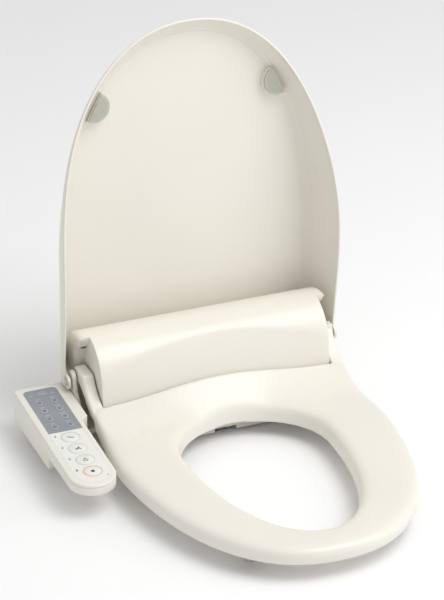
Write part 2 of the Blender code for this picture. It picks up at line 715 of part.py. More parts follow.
def build_keys(membrane, white):
    turn = (PANEL_SLOPE, 0.0, 0.0)
    for name, x, y, radius in key_places():
        flange = radius + 0.9
        profile = [(0.0, -4.9), (flange, -4.9), (flange, -3.6), (radius, -3.6), (radius, 0.2),
                   (radius - KEY_PROUD, KEY_PROUD), (0.0, KEY_PROUD)]
        bm = turned(profile, key_steps(radius))
        key = mesh_object(name, bm, membrane if name.startswith("function") else white)
        key.location = (panel_frame() @ Vector((x, y, 0.0))) * MM
        key.rotation_euler = turn


def nozzle_point(along, above=0.0):
    """(y, z) at a distance up the nozzle's axis from its tip, and square to it."""
    c, s = math.cos(NOZZLE_TILT), math.sin(NOZZLE_TILT)
    return NOZZLE_TIP[0] + c * along - s * above, NOZZLE_TIP[1] + s * along + c * above


def tilted(points, low, high):
    return prism([nozzle_point(a, h) for a, h in points], low, high, "X")


def build_nozzles(chrome, grey, white, dark):
    reach = NOZZLE_OFFSET + NOZZLE_RADIUS + 3.0
    block = [(34.0, -8.0), (72.0, -8.0), (72.0, 8.0), (34.0, 8.0)]
    guide = mesh_object("nozzle_guide", tilted(block, -reach, reach), grey, 0)
    for name, side in (("wash", -1), ("bidet", 1)):
        x = side * NOZZLE_OFFSET
        rear = nozzle_point(NOZZLE_LENGTH)
        combine(guide, rod((x, *nozzle_point(20.0)), (x, *nozzle_point(90.0)), NOZZLE_RADIUS + 0.4, 24))
        tube = mesh_object(name + "_nozzle", rod((x, *NOZZLE_TIP), (x, *rear), NOZZLE_RADIUS, 20), chrome)
        combine(tube, rod((x, *nozzle_point(5.0, 1.0)), (x, *nozzle_point(5.0, 8.0)), 0.9, 12))
        attach(tube, pivot(name + "_slide", (x, *NOZZLE_TIP)))
        centre = nozzle_point(PINION_PLACE, NOZZLE_RADIUS + PINION_RADIUS + GAP)
        axle = pivot(name + "_pinion_axle", (x, *centre))
        gear = rod((x - 3.0, *centre), (x + 3.0, *centre), PINION_RADIUS, 24, 1.9)
        attach(mesh_object(name + "_pinion", gear, white), axle)
        inner, outer = side * (NOZZLE_OFFSET + 5.0), side * (NOZZLE_OFFSET + 26.0)
        motor = mesh_object(name + "_motor", rod((inner, *centre), (outer, *centre), 8.5, 28), dark)
        shaft = rod((side * (NOZZLE_OFFSET - 3.0), *centre), (inner + side, *centre), 1.5, 12)
        combine(motor, shaft, "UNION")


def build_water_parts(white, brass, steel, dark, green, grey):
    tank = prism(rounded_box((-52.0, -44.0), (52.0, 18.0), 10.0), 47.0, 94.0)
    mesh_object("water_tank", tank, white)
    mesh_object("tank_heater", rod((0.0, -13.0, 94.0 + GAP), (0.0, -13.0, 108.0), 15.0, 28), steel)
    mesh_object("valve_unit", prism(rounded_box((66.0, -34.0), (112.0, 10.0), 5.0), 10.0, 56.0), dark)
    mesh_object("main_board", box((-146.0, -40.0, 12.0), (-66.0, 14.0, 13.8)), green, 0)
    tube = rod((INLET_X, 14.0, PORT_HEIGHT), (INLET_X, 47.0, PORT_HEIGHT), 8.0, 28, 5.0)
    inlet = mesh_object("water_inlet", tube, brass)
    combine(inlet, rod((INLET_X, 38.5, PORT_HEIGHT), (INLET_X, 43.0, PORT_HEIGHT), 11.0, 6, 6.0), "UNION")
    core = rod((INLET_X, 18.0, PORT_HEIGHT), (INLET_X, 44.0, PORT_HEIGHT), 4.6, 20)
    mesh_object("inlet_filter", core, steel)
    sleeve = rod((CORD_X, 30.0, PORT_HEIGHT), (CORD_X, 43.0, PORT_HEIGHT), 6.0, 24, 3.6)
    gland = mesh_object("power_gland", sleeve, grey)
    combine(gland, rod((CORD_X, 37.8, PORT_HEIGHT), (CORD_X, 40.0, PORT_HEIGHT), 9.0, 24, 4.0), "UNION")
    button = turned([(0.0, -12.0), (9.0, -12.0), (9.0, -9.5), (7.0, -9.5), (7.0, 3.0), (6.0, 4.0),
                     (0.0, 4.0)], 28)
    release = mesh_object("release_button", button, grey)
    release.location = Vector((SHOULDER_HALF, BUTTON_Y, PORT_HEIGHT)) * MM
    release.rotation_euler = (0.0, math.radians(90.0), 0.0)


def main():
    clear_scene()
    ivory = material("ivory_gloss", IVORY, 0.28)
    cream = material("cream_plastic", CREAM, 0.4)
    grey = material("grey_rubber", (0.35, 0.35, 0.33), 0.7)
    green_grey = material("pad_rubber", (0.55, 0.56, 0.47), 0.65)
    dark = material("dark_plastic", (0.08, 0.08, 0.09), 0.5)
    acetal = material("bush_acetal", (0.62, 0.60, 0.52), 0.4)
    steel = material("pin_steel", (0.6, 0.6, 0.62), 0.25, 1.0)
    chrome = material("nozzle_steel", (0.45, 0.46, 0.48), 0.3, 1.0)
    brass = material("inlet_brass", (0.75, 0.6, 0.3), 0.35, 1.0)
    membrane = material("membrane_grey", (0.30, 0.32, 0.36), 0.45)
    white = material("label_white", (0.80, 0.80, 0.77), 0.35)
    green = material("board_green", (0.05, 0.25, 0.12), 0.5)
    clear = material("lens_clear", (0.65, 0.66, 0.66), 0.15)
    build_seat(ivory, grey, dark, acetal)
    build_lid(ivory, green_grey)
    build_casing(ivory, cream)
    build_pins(steel, dark)
    build_mounting_plate(grey)
    build_control_arm(ivory, membrane, white, green, clear)
    build_keys(membrane, white)
    build_nozzles(chrome, grey, white, dark)
    build_water_parts(white, brass, steel, dark, green, grey)


main()
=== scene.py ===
"""Electric bidet seat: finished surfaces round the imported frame, in a plain studio.

Axes: +X to the seated user's left, -Y to the front, +Z up. Lengths are in millimetres, and
mesh_object turns them into metres. The studio and the camera are placed in metres.
"""
import json
import math

import bmesh
import bpy
from mathutils import Matrix, Vector


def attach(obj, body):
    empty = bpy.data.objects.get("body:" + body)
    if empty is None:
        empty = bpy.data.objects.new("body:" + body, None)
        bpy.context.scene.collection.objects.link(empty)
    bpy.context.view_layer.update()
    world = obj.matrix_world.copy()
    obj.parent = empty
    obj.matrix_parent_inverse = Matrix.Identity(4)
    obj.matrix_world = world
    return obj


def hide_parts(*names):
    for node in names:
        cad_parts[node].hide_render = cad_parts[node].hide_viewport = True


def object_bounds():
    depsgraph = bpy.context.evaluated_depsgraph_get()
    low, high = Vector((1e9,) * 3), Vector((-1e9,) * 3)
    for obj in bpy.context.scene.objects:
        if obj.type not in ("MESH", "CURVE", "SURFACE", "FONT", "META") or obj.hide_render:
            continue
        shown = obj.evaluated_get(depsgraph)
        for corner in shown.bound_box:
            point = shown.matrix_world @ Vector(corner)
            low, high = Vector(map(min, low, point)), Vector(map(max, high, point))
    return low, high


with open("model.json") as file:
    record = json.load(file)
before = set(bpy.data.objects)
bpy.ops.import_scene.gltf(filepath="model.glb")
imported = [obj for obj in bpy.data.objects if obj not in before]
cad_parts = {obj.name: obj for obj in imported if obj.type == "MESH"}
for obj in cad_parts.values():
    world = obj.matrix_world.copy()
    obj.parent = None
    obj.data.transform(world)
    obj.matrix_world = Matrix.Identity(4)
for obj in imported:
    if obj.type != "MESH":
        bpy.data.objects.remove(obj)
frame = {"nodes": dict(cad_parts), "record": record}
cad_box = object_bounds()

MM = 0.001
GAP = 0.3

# Seat ring, in millimetres
SEAT_AXIS = (-17.0, 72.0)
SEAT_HALF = 188.5
SEAT_CENTRE_Y = -145.0
SEAT_FRONT = 335.0
SEAT_REAR = 68.5
SEAT_POWER = 2.29
SEAT_REAR_POWER = 14.0
SEAT_WAIST = 9.0
SEAT_RISE = 17.0
MIDDLE_RISE = 16.0
SEAT_TOP = 34.5
HOLE_HALF = 99.5
HOLE_CENTRE_Y = -209.5
HOLE_FRONT = 218.5
HOLE_REAR = 90.0
HOLE_POWER = 2.05
SEAT_WALL = 3.0
ARM_INNER = 162.5
ARM_OUTER = 179.5
SEAT_BLEND = 20.0
SEAT_VOXEL = 1.6
PIN_BORE = 4.3
BUSH_BORE = 6.5

# Lid
LID_AXIS = (-20.0, 63.0)
LID_OPEN = 100.6
LID_HALF = 194.5
LID_CENTRE = 140.0
LID_FRONT = 324.0
LID_POWER = 2.2
LID_WALL = 2.6
LID_PANEL = 66.0
LID_PANEL_FALL = 0.208
LID_LEAN = 19.0
LID_LUG = 9.6
LID_CURVE = ((0.0, 0.0), (0.12, 0.04), (0.3, 0.16), (0.55, 0.42), (0.8, 0.72), (0.93, 0.9), (1.0, 1.12))
PAD_X = 127.0
PAD_REACH = 362.0
PAD_RADIUS = 20.0

# Rear casing
CASING_HALF = 161.0
SHOULDER_ENDS = ((-175.0, 6.0), (-174.7, 4.6), (-174.0, 3.2), (-172.6, 1.8), (-170.4, 0.7),
                 (-168.4, 0.2), (-166.5, 0.0))
SHOULDER_FRONT = ((-26.0, 121.5), (-20.7, 113.8), (-14.3, 107.2), (-8.2, 102.2), (-4.6, 96.0))
FOOT_HEIGHT = 52.6
SEAM = 0.03
BUTTON_Y = 18.0
PORT_HEIGHT = 24.0
INLET_X = 120.0
CORD_X = -120.0
CASING_RADIUS = 55.4
CASING_WALL = 2.8
CASING_REAR = 37.4
CASING_FLOOR = 8.3
BAY_FRONT = -101.0

# Control arm
PANEL_OUTER = -258.0
PANEL_INNER = -197.0
PANEL_REAR = 5.0
PANEL_FRONT = -246.0
PANEL_HEIGHT = 51.0
PANEL_SLOPE = math.atan(0.0488)
PANEL_STEP = -133.0
PANEL_DEEP = 7.0
PANEL_SHALLOW = 24.5
SHELF_INNER = 187.0
SHELF_FRONT = -85.0
COVER_THICK = 3.0
LABEL_LEFT = -249.0
LABEL_RIGHT = -203.0
LABEL_SPLIT = -112.6
LABEL_THICK = 0.5
LENS_X = -225.0
LENS_Y = -17.0
SMALL_KEY_RADIUS = 5.6
LARGE_KEY_RADIUS = 12.8
SMALL_KEY_ROWS = (-37.0, -57.7, -78.4, -99.1)
SMALL_KEY_COLUMNS = (-236.0, -215.0)
LARGE_KEY_ROWS = (("dryer_key", -129.0), ("bidet_key", -157.0), ("wash_key", -185.0),
                  ("stop_key", -213.0))
LARGE_KEY_X = -225.0
PRINT_LOW = -0.2

# Studio, in metres
CAMERA_PLACE = (-1.145, -2.894, 1.7163)
CAMERA_TURN = (math.radians(63.1), 0.0, math.radians(-22.2))
CAMERA_LENS = 157.56
FLOOR_HALF = 12.0
WORLD_STRENGTH = 0.64

# ---------------------------------------------------------------- mesh helpers


def mesh_object(name, bm, mat=None, smooth=35.0):
    """Turns a millimetre mesh into a metre object."""
    bmesh.ops.recalc_face_normals(bm, faces=bm.faces)
    bmesh.ops.scale(bm, vec=(MM, MM, MM), verts=bm.verts)
    mesh = bpy.data.meshes.new(name)
    bm.to_mesh(mesh)
    bm.free()
    obj = bpy.data.objects.new(name, mesh)
    bpy.context.scene.collection.objects.link(obj)
    if mat is not None:
        mesh.materials.append(mat)
    if smooth:
        mesh.shade_smooth()
        mesh.set_sharp_from_angle(angle=math.radians(smooth))
    return obj


def soften(obj, angle):
    """Shades an object smooth, apart from edges sharper than the angle in degrees."""
    obj.data.shade_smooth()
    obj.data.set_sharp_from_angle(angle=math.radians(angle))


def loft(rings, closed=False):
    """Skins equal rings of points; the ends are capped unless the rings form a closed loop."""
    bm = bmesh.new()
    rows = [[bm.verts.new(p) for p in ring] for ring in rings]
    count = len(rows[0])
    pairs = list(zip(rows, rows[1:]))
    if closed:
        pairs.append((rows[-1], rows[0]))
    for low, high in pairs:
        for i in range(count):
            j = (i + 1) % count
            bm.faces.new((low[i], low[j], high[j], high[i]))
    if not closed:
        bm.faces.new(rows[0])
        bm.faces.new(list(reversed(rows[-1])))
    return bm


def prism(points, start, end, axis="Z"):
    """Extrudes a closed outline along one axis. For X the points are (y, z), for Z (x, y)."""
    place = {
        "X": lambda p, t: (t, p[0], p[1]),
        "Y": lambda p, t: (p[0], t, p[1]),
        "Z": lambda p, t: (p[0], p[1], t),
    }[axis]
    return loft([[place(p, t) for p in points] for t in (start, end)])


def arc(centre, radius, start, end, steps):
    """Points on an arc; the angles are in degrees."""
    angles = [math.radians(start + (end - start) * i / steps) for i in range(steps + 1)]
    return [(centre[0] + radius * math.cos(a), centre[1] + radius * math.sin(a)) for a in angles]


def rounded(points, radii, steps=6):
    """Rounds each corner of an outline with its own radius."""
    out = []
    count = len(points)
    for i, (point, radius) in enumerate(zip(points, radii)):
        here = Vector(point)
        before = (Vector(points[i - 1]) - here)
        after = (Vector(points[(i + 1) % count]) - here)
        if radius <= 0.0:
            out.append(tuple(here))
            continue
        reach = min(radius, 0.45 * before.length, 0.45 * after.length)
        start = here + before.normalized() * reach
        end = here + after.normalized() * reach
        for k in range(steps + 1):
            t = k / steps
            spot = start * (1 - t) ** 2 + here * 2 * t * (1 - t) + end * t * t
            out.append(tuple(spot))
    return out


def turned(profile, steps=48):
    """Turns (radius, height) points, from the axis round to the axis."""
    bm = bmesh.new()
    rows = []
    for radius, height in profile:
        if radius == 0.0:
            rows.append([bm.verts.new((0.0, 0.0, height))])
            continue
        turn = [2.0 * math.pi * i / steps for i in range(steps)]
        rows.append([bm.verts.new((radius * math.cos(a), radius * math.sin(a), height)) for a in turn])
    for low, high in zip(rows, rows[1:]):
        for i in range(steps):
            j = (i + 1) % steps
            if len(low) == 1:
                bm.faces.new((low[0], high[j], high[i]))
            elif len(high) == 1:
                bm.faces.new((low[i], low[j], high[0]))
            else:
                bm.faces.new((low[i], low[j], high[j], high[i]))
    return bm


def rod(start, end, radius, steps=40):
    """Cylinder between two points."""
    span = Vector(end) - Vector(start)
    bm = turned([(0.0, 0.0), (radius, 0.0), (radius, span.length), (0.0, span.length)], steps)
    turn = span.to_track_quat("Z", "Y").to_matrix().to_4x4()
    bmesh.ops.transform(bm, matrix=Matrix.Translation(start) @ turn, verts=bm.verts)
    return bm


def combine(target, tool, operation="DIFFERENCE"):
    """Applies one exact Boolean with a mesh or an object as the tool, which is then removed."""
    if isinstance(tool, bmesh.types.BMesh):
        tool = mesh_object("tool", tool, None, 0)
    modifier = target.modifiers.new("combine", "BOOLEAN")
    modifier.operation = operation
    modifier.solver = "EXACT"
    modifier.object = tool
    settle(target)
    bpy.data.objects.remove(tool, do_unlink=True)


def settle(obj):
    """Bakes the modifiers into the mesh."""
    graph = bpy.context.evaluated_depsgraph_get()
    mesh = bpy.data.meshes.new_from_object(obj.evaluated_get(graph))
    obj.modifiers.clear()
    old = obj.data
    obj.data = mesh
    bpy.data.meshes.remove(old)


def bevel(obj, width, segments=3, angle=38.0):
    """Rounds the edges that are sharper than the angle in degrees."""
    modifier = obj.modifiers.new("bevel", "BEVEL")
    modifier.width = width * MM
    modifier.segments = segments
    modifier.limit_method = "ANGLE"
    modifier.angle_limit = math.radians(angle)
    modifier.use_clamp_overlap = True
    settle(obj)
    soften(obj, 40.0)


def curve_at(points, t):
    """Smooth curve through points, Catmull-Rom, t from 0 to 1."""
    spans = len(points) - 1
    place = min(max(t, 0.0), 1.0) * spans
    i = min(int(place), spans - 1)
    u = place - i
    p0, p1, p2, p3 = (Vector(points[min(max(k, 0), spans)]) for k in (i - 1, i, i + 1, i + 2))
    return 0.5 * (2 * p1 + (p2 - p0) * u + (2 * p0 - 5 * p1 + 4 * p2 - p3) * u * u
                  + (3 * p1 - p0 - 3 * p2 + p3) * u ** 3)


# ------------------------------------------------------------------- materials


def plastic(name, colour, roughness, grain=1400.0, depth=0.02, spread=0.03, coat=0.0):
    """Moulded plastic: slight colour drift, uneven gloss and a fine skin texture."""
    mat = bpy.data.materials.new(name)
    mat.use_nodes = True
    tree = mat.node_tree
    shader = tree.nodes["Principled BSDF"]
    shader.inputs["Coat Weight"].default_value = coat
    shader.inputs["Coat Roughness"].default_value = 0.12
    place = tree.nodes.new("ShaderNodeTexCoord")
    drift = tree.nodes.new("ShaderNodeTexNoise")
    drift.inputs["Scale"].default_value = 9.0
    drift.inputs["Detail"].default_value = 3.0
    tree.links.new(place.outputs["Object"], drift.inputs["Vector"])
    ramp = tree.nodes.new("ShaderNodeValToRGB")
    ramp.color_ramp.elements[0].color = (*[c * (1.0 - spread) for c in colour], 1.0)
    ramp.color_ramp.elements[1].color = (*[min(1.0, c * (1.0 + spread)) for c in colour], 1.0)
    ramp.color_ramp.elements[0].position = 0.3
    ramp.color_ramp.elements[1].position = 0.7
    tree.links.new(drift.outputs["Fac"], ramp.inputs["Fac"])
    tree.links.new(ramp.outputs["Color"], shader.inputs["Base Color"])
    gloss = tree.nodes.new("ShaderNodeTexNoise")
    gloss.inputs["Scale"].default_value = 60.0
    gloss.inputs["Detail"].default_value = 4.0
    tree.links.new(place.outputs["Object"], gloss.inputs["Vector"])
    spread_node = tree.nodes.new("ShaderNodeMapRange")
    spread_node.inputs["To Min"].default_value = roughness * 0.85
    spread_node.inputs["To Max"].default_value = roughness * 1.18
    tree.links.new(gloss.outputs["Fac"], spread_node.inputs["Value"])
    tree.links.new(spread_node.outputs["Result"], shader.inputs["Roughness"])
    skin = tree.nodes.new("ShaderNodeTexNoise")
    skin.inputs["Scale"].default_value = grain
    skin.inputs["Detail"].default_value = 2.0
    tree.links.new(place.outputs["Object"], skin.inputs["Vector"])
    bump = tree.nodes.new("ShaderNodeBump")
    bump.inputs["Strength"].default_value = depth
    bump.inputs["Distance"].default_value = 0.0004
    tree.links.new(skin.outputs["Fac"], bump.inputs["Height"])
    tree.links.new(bump.outputs["Normal"], shader.inputs["Normal"])
    return mat


def metal(name, colour, roughness):
    """Metal with an uneven gloss and a fine brushed-like grain."""
    mat = plastic(name, colour, roughness, 500.0, 0.08, 0.06)
    mat.node_tree.nodes["Principled BSDF"].inputs["Metallic"].default_value = 1.0
    return mat


def make_materials():
    return {
        "ivory": plastic("ivory_gloss", (0.80, 0.775, 0.70), 0.36, depth=0.015, spread=0.012,
                         coat=0.15),
        "cream": plastic("cream_plastic", (0.72, 0.69, 0.60), 0.42, 900.0, 0.04, 0.02),
        "grey": plastic("grey_plastic", (0.38, 0.38, 0.37), 0.55, 900.0, 0.08, 0.05),
        "rubber": plastic("grey_rubber", (0.36, 0.36, 0.34), 0.75, 700.0, 0.15, 0.06),
        "pad": plastic("pad_rubber", (0.50, 0.51, 0.43), 0.6, 600.0, 0.12, 0.05),
        "black": plastic("black_rubber", (0.03, 0.03, 0.03), 0.65, 700.0, 0.12, 0.1),
        "dark": plastic("dark_plastic", (0.05, 0.05, 0.055), 0.5, 800.0, 0.08, 0.1),
        "film": plastic("heater_film", (0.28, 0.12, 0.04), 0.4, 400.0, 0.05, 0.1),
        "acetal": plastic("bush_acetal", (0.62, 0.60, 0.52), 0.4, 900.0, 0.04, 0.03),
        "membrane": plastic("membrane_grey", (0.27, 0.285, 0.31), 0.45, 2600.0, 0.3, 0.12),
        "white": plastic("label_white", (0.80, 0.80, 0.76), 0.36, 2600.0, 0.18, 0.02),
        "board": plastic("board_green", (0.03, 0.2, 0.08), 0.45, 300.0, 0.2, 0.25),
        "lens": plastic("lens_clear", (0.36, 0.38, 0.42), 0.18, 1200.0, 0.02, 0.03, coat=0.5),
        "steel": metal("pin_steel", (0.62, 0.62, 0.64), 0.28),
        "nozzle": metal("nozzle_steel", (0.45, 0.46, 0.48), 0.32),
        "brass": metal("inlet_brass", (0.72, 0.55, 0.25), 0.33),
        "ink": plastic("print_grey", (0.055, 0.06, 0.075), 0.5, 2600.0, 0.1, 0.08),
        "line": plastic("print_line", (0.42, 0.43, 0.45), 0.5, 2600.0, 0.1, 0.05),
        "pale": plastic("print_pale", (0.58, 0.6, 0.63), 0.5, 2600.0, 0.1, 0.05),
        "orange": plastic("print_orange", (0.86, 0.27, 0.06), 0.45, 2600.0, 0.1, 0.04),
    }


def dress_frame(mats):
    """Gives every kept CAD node its finished material by its material slot."""
    by_slot = {
        "ivory_gloss": "ivory", "cream_plastic": "cream", "grey_plastic": "grey", "black_rubber": "black",
        "grey_rubber": "rubber", "pad_rubber": "pad", "heater_film": "film", "bush_acetal": "acetal",
        "pin_steel": "steel", "dark_plastic": "dark", "nozzle_steel": "nozzle", "white_plastic": "white",
        "board_green": "board", "inlet_brass": "brass", "membrane_grey": "membrane", "label_white": "white",
        "lens_clear": "lens",
    }
    for entry in frame["record"]["subparts"]:
        node = frame["nodes"][entry["node"]]
        node.data.materials.clear()
        node.data.materials.append(mats[by_slot[entry["material_slot"]]])


def keep(piece, body, slot, *nodes):
    """Attaches a finished piece to its body and hides the nodes that it replaces. The slot argument is not
    used.
    """
    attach(piece, body)
    if nodes:
        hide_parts(*nodes)


# ------------------------------------------------------------------------ seat


def polar(angle, half, front, rear, power, rear_power):
    """Radius of an egg-shaped outline, seen from its own centre."""
    reach = rear if math.sin(angle) > 0.0 else front
    n = rear_power if math.sin(angle) > 0.0 else power
    return (abs(math.cos(angle) / half) ** n + abs(math.sin(angle) / reach) ** n) ** (-1.0 / n)


def ease(share):
    """Smooth step from 0 to 1."""
    share = min(max(share, 0.0), 1.0)
    return share * share * (3.0 - 2.0 * share)


def seat_outer(angle):
    r = polar(angle, SEAT_HALF, SEAT_FRONT, SEAT_REAR, SEAT_POWER, SEAT_REAR_POWER)
    y = SEAT_CENTRE_Y + r * math.sin(angle)
    waist = SEAT_WAIST * ease((y + 215.0) / 115.0)
    return Vector((r * math.cos(angle) * (1.0 - waist / SEAT_HALF), y))


def seat_hole(angle):
    r = polar(angle, HOLE_HALF, HOLE_FRONT, HOLE_REAR, HOLE_POWER, 2.0)
    return Vector((r * math.cos(angle), HOLE_CENTRE_Y + r * math.sin(angle)))


def seat_bell(x):
    """Rise of the seat's and the casing's meeting line towards the middle."""
    return 0.5 + 0.5 * math.cos(math.pi * min(abs(x) / CASING_HALF, 1.0))


def seat_lift(x, y):
    """Rise of the ring's rear as it climbs to meet the casing."""
    side = min(abs(x) / CASING_HALF, 1.0) ** 2
    start = -122.0 - 28.0 * side
    climb = min(max((y - start) / (-76.0 - start), 0.0), 1.0)
    return (SEAT_RISE + MIDDLE_RISE * seat_bell(x)) * climb ** (1.25 + 0.35 * side)


def seat_ring(profile, inner_from, steps):
    """Sweeps a cross-section round the ring. Each profile point is (from hole, from rim, height): the
    first two are distances along the section, of which one is None. Where both are given, the first
    is a share of the flat top. Points from inner_from on are on the inside of the wall."""
    rings = []
    corners = [14.0 + 0.5 * k for k in range(24)]
    extra = [math.radians(a) for a in corners + [180.0 - a for a in corners]]
    angles = sorted([2.0 * math.pi * (i + 0.01) / steps for i in range(steps)] + extra)
    for angle in angles:
        inner = seat_hole(angle)
        outer = seat_outer(angle)
        across = outer - inner
        length = across.length
        tight = 1.0 - 0.72 * ease((outer.y + 150.0) / 60.0)
        ring = []
        for i, (from_hole, from_rim, height) in enumerate(profile):
            wall = SEAT_WALL if i >= inner_from else 0.0
            rim = SEAT_BLEND if from_rim is None else from_rim
            rim_share = 1.0 - (wall + (rim - wall) * tight) / length
            if from_hole is None:
                share = rim_share
            elif from_rim is None:
                share = from_hole / length
            else:
                share = SEAT_BLEND / length + (rim_share - SEAT_BLEND / length) * from_hole
            spot = inner + across * share
            ring.append((spot.x, spot.y, height + seat_lift(spot.x, spot.y)))
        rings.append(ring)
    return rings


def seat_arm_profile():
    """Side view of one seat arm, from the ring up to its hinge lug."""
    lug = arc(SEAT_AXIS, 9.2, -90, 90, 24)
    nose = arc((-41.0, 75.2), 6.0, 90, 165, 10)
    return lug + nose + [(-51.0, 70.5), (-57.0, 63.5), (-65.0, 57.0), (-76.0, 51.0), (-88.0, 45.0),
                         (-88.0, 36.0), (-74.0, 36.0), (-60.0, 44.0), (-48.0, 54.0), (-36.0, 61.0)]


def build_seat(mats):
    """The ring and its arms as one skin with soft transitions."""
    t = SEAT_WALL
    rim = [(3.4, 11.2), (1.7, 12.6), (0.8, 15.4), (0.3, 19.5), (0.0, 24.0), (0.5, 26.6), (1.6, 28.8),
           (3.2, 30.7), (5.4, 32.1), (8.5, 33.3), (13.0, 34.1), (SEAT_BLEND, SEAT_TOP)]
    hole = [(SEAT_BLEND, SEAT_TOP - 0.3), (14.0, 33.8), (9.5, 32.6), (6.2, 30.9), (3.8, 28.6),
            (2.0, 25.4), (1.0, 22.0), (0.4, 17.0), (0.0, 9.0)]
    section = [(None, inset, height) for inset, height in rim]
    section += [(share, SEAT_BLEND, SEAT_TOP) for share in (0.8, 0.6, 0.4, 0.2)]
    section += [(inset, None, height) for inset, height in hole]
    inner_from = len(section)
    section += [(t, None, 9.0), (t + 1.2, None, 14.8), (None, t + 2.2, 17.8), (None, t + 2.2, 12.0)]
    seat = mesh_object("seat_skin", loft(seat_ring(section, inner_from, 200), closed=True))
    arms = []
    for side in (-1, 1):
        low, high = sorted((side * (ARM_INNER + 0.4), side * (ARM_OUTER - 0.4)))
        arms.append(mesh_object("arm_piece", prism(seat_arm_profile(), low, high, "X")))
    merge(seat, arms)
    remesh = seat.modifiers.new("skin", "REMESH")
    remesh.mode = "VOXEL"
    remesh.voxel_size = SEAT_VOXEL * MM
    relax = seat.modifiers.new("relax", "SMOOTH")
    relax.factor = 0.5
    relax.iterations = 6
    settle(seat)
    for side in (-1, 1):
        combine(seat, rod((side * 150.0, *SEAT_AXIS), (side * 190.0, *SEAT_AXIS), BUSH_BORE))
    seat.data.materials.clear()
    seat.data.materials.append(mats["ivory"])
    seat.data.shade_smooth()
    keep(seat, "seat", "ivory_gloss", "seat_top_shell")
    build_heater(mats)


def build_heater(mats):
    """The heating film, which follows the underside of the ring's top."""
    section = [(19.0, None, 28.6), (None, 25.0, 28.6), (None, 25.0, 27.4), (19.0, None, 27.4)]
    film = mesh_object("heater_sheet", loft(seat_ring(section, 4, 120), closed=True))
    film.data.materials.append(mats["film"])
    keep(film, "seat", "heater_film", "seat_heater")


def merge(target, others):
    """Adds the other objects' meshes to the target's mesh and removes them."""
    bm = bmesh.new()
    bm.from_mesh(target.data)
    for other in others:
        bm.from_mesh(other.data)
        bpy.data.objects.remove(other, do_unlink=True)
    bm.to_mesh(target.data)
    bm.free()


# ------------------------------------------------------------------------- lid


def lid_frame():
    """Takes the shut lid, measured from its axis, to its open place in metres."""
    turn = Matrix.Rotation(math.radians(-LID_OPEN), 4, "X")
    return Matrix.Translation(Vector((0.0, *LID_AXIS)) * MM) @ turn


def lid_outline(angle, inset):
    """Plan point of the shut lid, measured from its axis: x, and distance to the front."""
    half = LID_HALF - inset
    front = LID_FRONT - inset * 1.15
    n = LID_POWER
    r = (abs(math.cos(angle) / half) ** n + abs(math.sin(angle) / front) ** n) ** (-1.0 / n)
    return r * math.cos(angle), LID_CENTRE + r * math.sin(angle)


def lid_rim(v):
    """Height of the shut lid's rim over its axis."""
    fall = math.sin(0.5 * math.pi * min(max((v - 5.0) / 205.0, 0.0), 1.0)) ** 1.15
    front = min(max((v - 250.0) / 210.0, 0.0), 1.0)
    return 4.0 - 47.6 * fall + 4.0 * math.sin(math.pi * front) - 3.0 * front


def lid_top(v, distance):
    """Height of the lid's panel, at a distance square to it from the lid's axis."""
    return distance * math.hypot(1.0, LID_PANEL_FALL) - LID_PANEL_FALL * v


def lid_stations():
    """(angle, v, side) stations round the lid from its left rear corner to its right one."""
    sides = [-6.0 + (LID_CENTRE + 5.0) * (i / 20.0) for i in range(20)]
    turn = [180.0 - 180.0 * i / 110 for i in range(111)]
    left = [(None, v, -1) for v in sides]
    front = [(math.radians(a), None, 0) for a in turn]
    right = [(None, v, 1) for v in reversed(sides)]
    return left + front + right


def lid_section(station, wall, steps=26):
    """Points from the rim up the wall and onto the panel, for the outer or the inner face."""
    angle, v_side, side = station
    thickness = LID_WALL if wall == "inner" else 0.0
    distance = LID_PANEL if wall == "inner" else LID_PANEL + LID_WALL
    section = []
    reach = v_side if angle is None else lid_outline(angle, 0.0)[1]
    steep = LID_LEAN * (1.0 - 0.3 * min(max((reach - 250.0) / 210.0, 0.0), 1.0))
    for k in range(steps + 1):
        level, lean = curve_at(LID_CURVE, k / steps)
        if k == steps:
            level, lean = LID_CURVE[-1]
        inset = thickness + steep * lean
        if angle is None:
            x = side * (LID_HALF - inset - 0.00001 * (LID_CENTRE - v_side) ** 2)
            v = v_side
        else:
            x, v = lid_outline(angle, inset)
        rim = lid_rim(reach)
        top = lid_top(v, distance)
        corner = max(0.0, 1.0 - abs(level - 0.93) / 0.07) * 1.6
        height = rim + (top - rim) * level - corner
        section.append((x, v, height))
    return section


def lid_rim_bead(station):
    """Round edge between the outer and the inner wall."""
    outer = Vector(lid_section(station, "outer", 4)[0])
    inner = Vector(lid_section(station, "inner", 4)[0])
    middle = (outer + inner) / 2.0
    bead = []
    for k in range(1, 6):
        a = math.pi * k / 6.0
        spot = middle + (outer - inner) / 2.0 * math.cos(a)
        spot.z -= LID_WALL * 0.32 * math.sin(a)
        bead.append(tuple(spot))
    return bead


